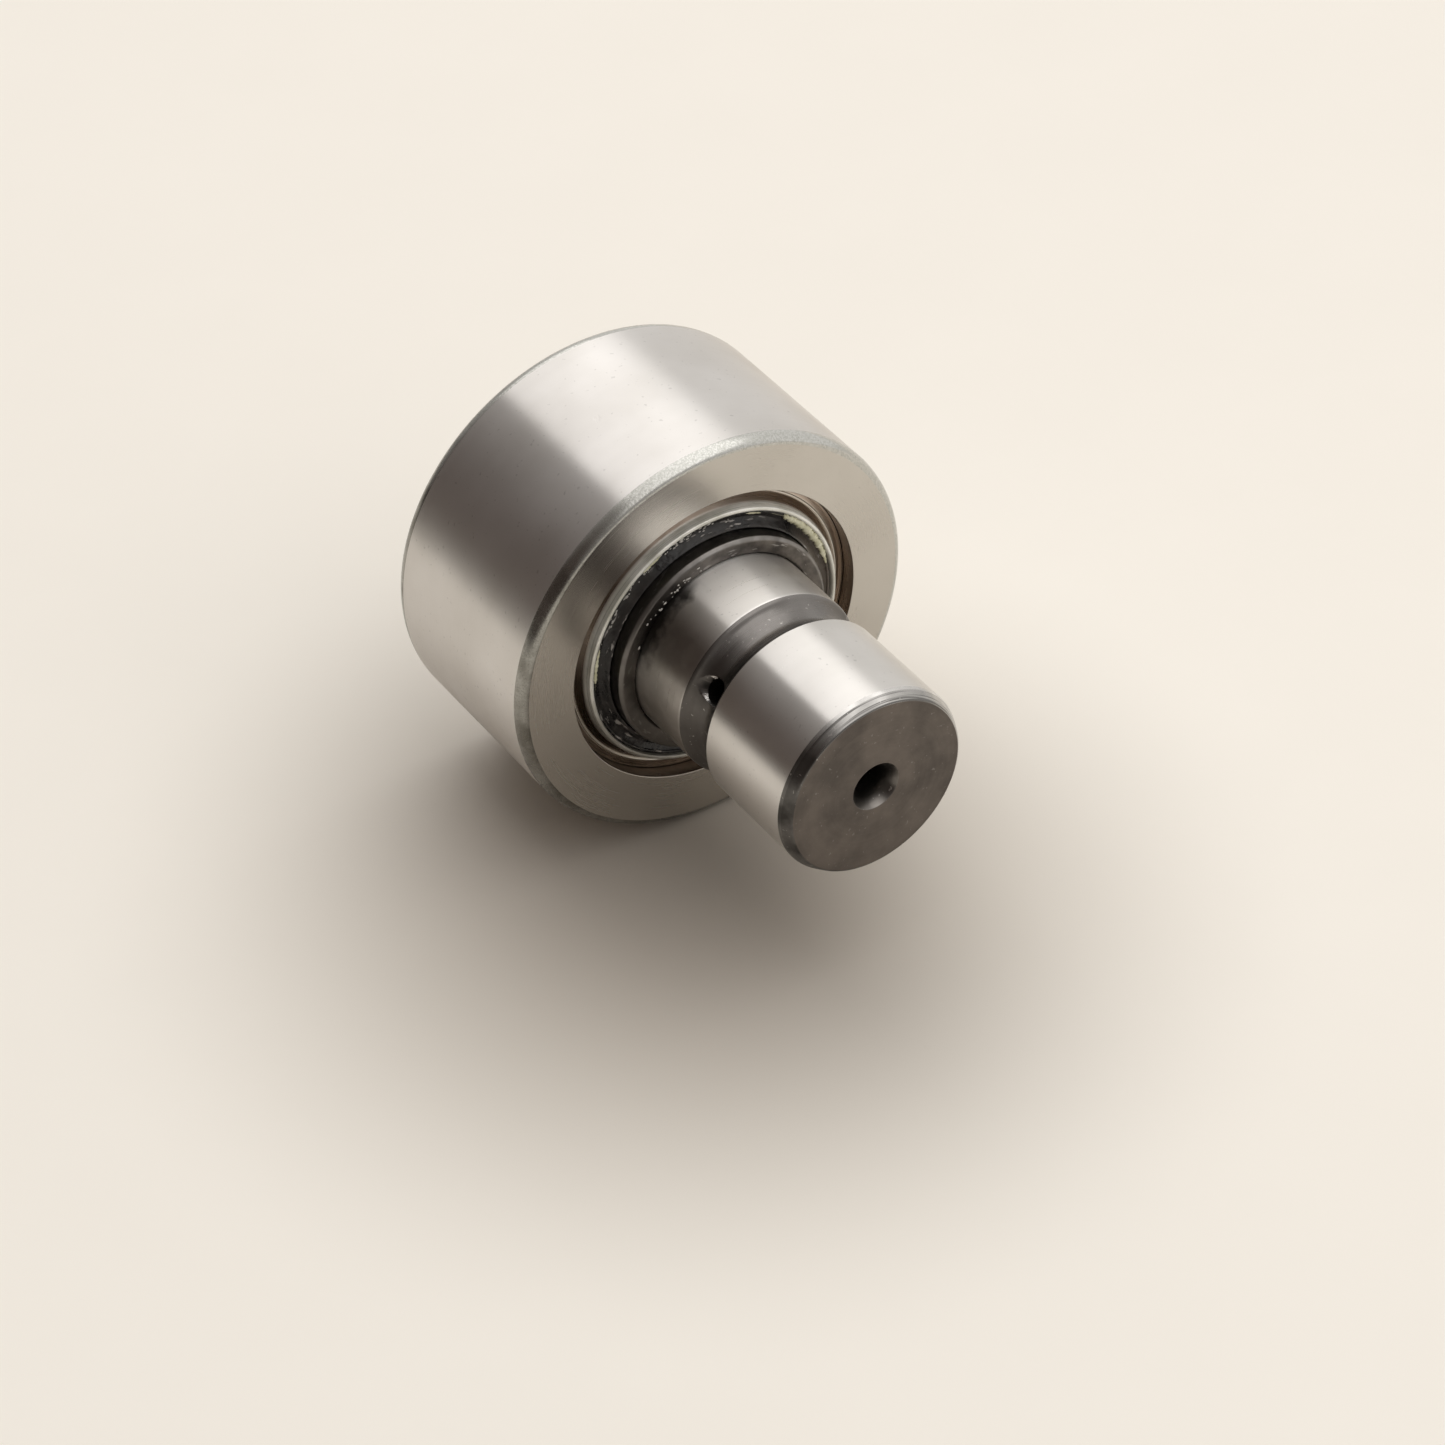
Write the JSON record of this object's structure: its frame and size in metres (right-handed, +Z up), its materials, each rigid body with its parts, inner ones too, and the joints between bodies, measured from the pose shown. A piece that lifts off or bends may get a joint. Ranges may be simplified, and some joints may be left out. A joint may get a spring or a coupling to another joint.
{
  "type": "cam follower",
  "caption": "Stud-type cam follower: thick steel roller sealed on caged needle rollers, carried by a plain cylindrical stud with a clamp groove and an oil hole.",
  "frame": {"origin": "on the roller's axis, in the plane of the abutment washer's face that seats against the bracket", "axes": "+Y runs along the axis from the mounting face into the roller, so the stud points to -Y; +Z is up with the roller's tread on the ground, +X to the side"},
  "size_m": [0.035, 0.039, 0.035],
  "materials": {
    "ground_steel": "hardened bearing steel, plunge ground, satin",
    "washer_steel": "turned steel, dark with oil",
    "roller_steel": "hardened bearing steel, ground tread and faces, satin",
    "case_steel": "pressed bright sheet steel with grease traces",
    "cage_steel": "pressed sheet steel, oiled",
    "needle_steel": "lapped bearing steel",
    "seal_rubber": "moulded nitrile rubber, greasy, with dust",
    "thrust_plastic": "natural acetal"
  },
  "bodies": {
    "stud": {"stud": "ground_steel", "abutment_washer": "washer_steel", "front_thrust_washer": "thrust_plastic", "rear_thrust_washer": "thrust_plastic"},
    "roller": {"outer_ring": "roller_steel", "front_seal_case": "case_steel", "front_seal_lip": "seal_rubber", "rear_seal_case": "case_steel", "rear_seal_lip": "seal_rubber"},
    "cage": {"needle_cage": "cage_steel"},
    "needle_01": {"needle_01": "needle_steel"},
    "needle_02": {"needle_02": "needle_steel"},
    "needle_03": {"needle_03": "needle_steel"},
    "needle_04": {"needle_04": "needle_steel"},
    "needle_05": {"needle_05": "needle_steel"},
    "needle_06": {"needle_06": "needle_steel"},
    "needle_07": {"needle_07": "needle_steel"},
    "needle_08": {"needle_08": "needle_steel"},
    "needle_09": {"needle_09": "needle_steel"},
    "needle_10": {"needle_10": "needle_steel"},
    "needle_11": {"needle_11": "needle_steel"},
    "needle_12": {"needle_12": "needle_steel"},
    "needle_13": {"needle_13": "needle_steel"},
    "needle_14": {"needle_14": "needle_steel"},
    "needle_15": {"needle_15": "needle_steel"},
    "needle_16": {"needle_16": "needle_steel"},
    "needle_17": {"needle_17": "needle_steel"},
    "needle_18": {"needle_18": "needle_steel"}
  },
  "joints": [
    {"name": "roller_spin", "type": "hinge", "parent": "stud", "child": "roller", "pos_m": [0, 0.0102, 0], "axis": [0, -1, 0], "continuous": true},
    {"name": "cage_orbit", "type": "hinge", "parent": "stud", "child": "cage", "pos_m": [0, 0.0102, 0], "axis": [0, -1, 0], "continuous": true},
    {"name": "needle_01_spin", "type": "hinge", "parent": "cage", "child": "needle_01", "pos_m": [0.0111, 0.0102, 0.00196], "axis": [0, -1, 0], "continuous": true},
    {"name": "needle_02_spin", "type": "hinge", "parent": "cage", "child": "needle_02", "pos_m": [0.00976, 0.0102, 0.00564], "axis": [0, -1, 0], "continuous": true},
    {"name": "needle_03_spin", "type": "hinge", "parent": "cage", "child": "needle_03", "pos_m": [0.00724, 0.0102, 0.00863], "axis": [0, -1, 0], "continuous": true},
    {"name": "needle_04_spin", "type": "hinge", "parent": "cage", "child": "needle_04", "pos_m": [0.00385, 0.0102, 0.01059], "axis": [0, -1, 0], "continuous": true},
    {"name": "needle_05_spin", "type": "hinge", "parent": "cage", "child": "needle_05", "pos_m": [0, 0.0102, 0.01127], "axis": [0, -1, 0], "continuous": true},
    {"name": "needle_06_spin", "type": "hinge", "parent": "cage", "child": "needle_06", "pos_m": [-0.00385, 0.0102, 0.01059], "axis": [0, -1, 0], "continuous": true},
    {"name": "needle_07_spin", "type": "hinge", "parent": "cage", "child": "needle_07", "pos_m": [-0.00724, 0.0102, 0.00863], "axis": [0, -1, 0], "continuous": true},
    {"name": "needle_08_spin", "type": "hinge", "parent": "cage", "child": "needle_08", "pos_m": [-0.00976, 0.0102, 0.00564], "axis": [0, -1, 0], "continuous": true},
    {"name": "needle_09_spin", "type": "hinge", "parent": "cage", "child": "needle_09", "pos_m": [-0.0111, 0.0102, 0.00196], "axis": [0, -1, 0], "continuous": true},
    {"name": "needle_10_spin", "type": "hinge", "parent": "cage", "child": "needle_10", "pos_m": [-0.0111, 0.0102, -0.00196], "axis": [0, -1, 0], "continuous": true},
    {"name": "needle_11_spin", "type": "hinge", "parent": "cage", "child": "needle_11", "pos_m": [-0.00976, 0.0102, -0.00564], "axis": [0, -1, 0], "continuous": true},
    {"name": "needle_12_spin", "type": "hinge", "parent": "cage", "child": "needle_12", "pos_m": [-0.00724, 0.0102, -0.00863], "axis": [0, -1, 0], "continuous": true},
    {"name": "needle_13_spin", "type": "hinge", "parent": "cage", "child": "needle_13", "pos_m": [-0.00385, 0.0102, -0.01059], "axis": [0, -1, 0], "continuous": true},
    {"name": "needle_14_spin", "type": "hinge", "parent": "cage", "child": "needle_14", "pos_m": [0, 0.0102, -0.01127], "axis": [0, -1, 0], "continuous": true},
    {"name": "needle_15_spin", "type": "hinge", "parent": "cage", "child": "needle_15", "pos_m": [0.00385, 0.0102, -0.01059], "axis": [0, -1, 0], "continuous": true},
    {"name": "needle_16_spin", "type": "hinge", "parent": "cage", "child": "needle_16", "pos_m": [0.00724, 0.0102, -0.00863], "axis": [0, -1, 0], "continuous": true},
    {"name": "needle_17_spin", "type": "hinge", "parent": "cage", "child": "needle_17", "pos_m": [0.00976, 0.0102, -0.00564], "axis": [0, -1, 0], "continuous": true},
    {"name": "needle_18_spin", "type": "hinge", "parent": "cage", "child": "needle_18", "pos_m": [0.0111, 0.0102, -0.00196], "axis": [0, -1, 0], "continuous": true}
  ],
  "couplings": [
    {"joint": "cage_orbit", "follows": "roller_spin", "ratio": 0.55674},
    {"joint": "needle_01_spin", "follows": "roller_spin", "ratio": 4.4539},
    {"joint": "needle_02_spin", "follows": "roller_spin", "ratio": 4.4539},
    {"joint": "needle_03_spin", "follows": "roller_spin", "ratio": 4.4539},
    {"joint": "needle_04_spin", "follows": "roller_spin", "ratio": 4.4539},
    {"joint": "needle_05_spin", "follows": "roller_spin", "ratio": 4.4539},
    {"joint": "needle_06_spin", "follows": "roller_spin", "ratio": 4.4539},
    {"joint": "needle_07_spin", "follows": "roller_spin", "ratio": 4.4539},
    {"joint": "needle_08_spin", "follows": "roller_spin", "ratio": 4.4539},
    {"joint": "needle_09_spin", "follows": "roller_spin", "ratio": 4.4539},
    {"joint": "needle_10_spin", "follows": "roller_spin", "ratio": 4.4539},
    {"joint": "needle_11_spin", "follows": "roller_spin", "ratio": 4.4539},
    {"joint": "needle_12_spin", "follows": "roller_spin", "ratio": 4.4539},
    {"joint": "needle_13_spin", "follows": "roller_spin", "ratio": 4.4539},
    {"joint": "needle_14_spin", "follows": "roller_spin", "ratio": 4.4539},
    {"joint": "needle_15_spin", "follows": "roller_spin", "ratio": 4.4539},
    {"joint": "needle_16_spin", "follows": "roller_spin", "ratio": 4.4539},
    {"joint": "needle_17_spin", "follows": "roller_spin", "ratio": 4.4539},
    {"joint": "needle_18_spin", "follows": "roller_spin", "ratio": 4.4539}
  ]
}
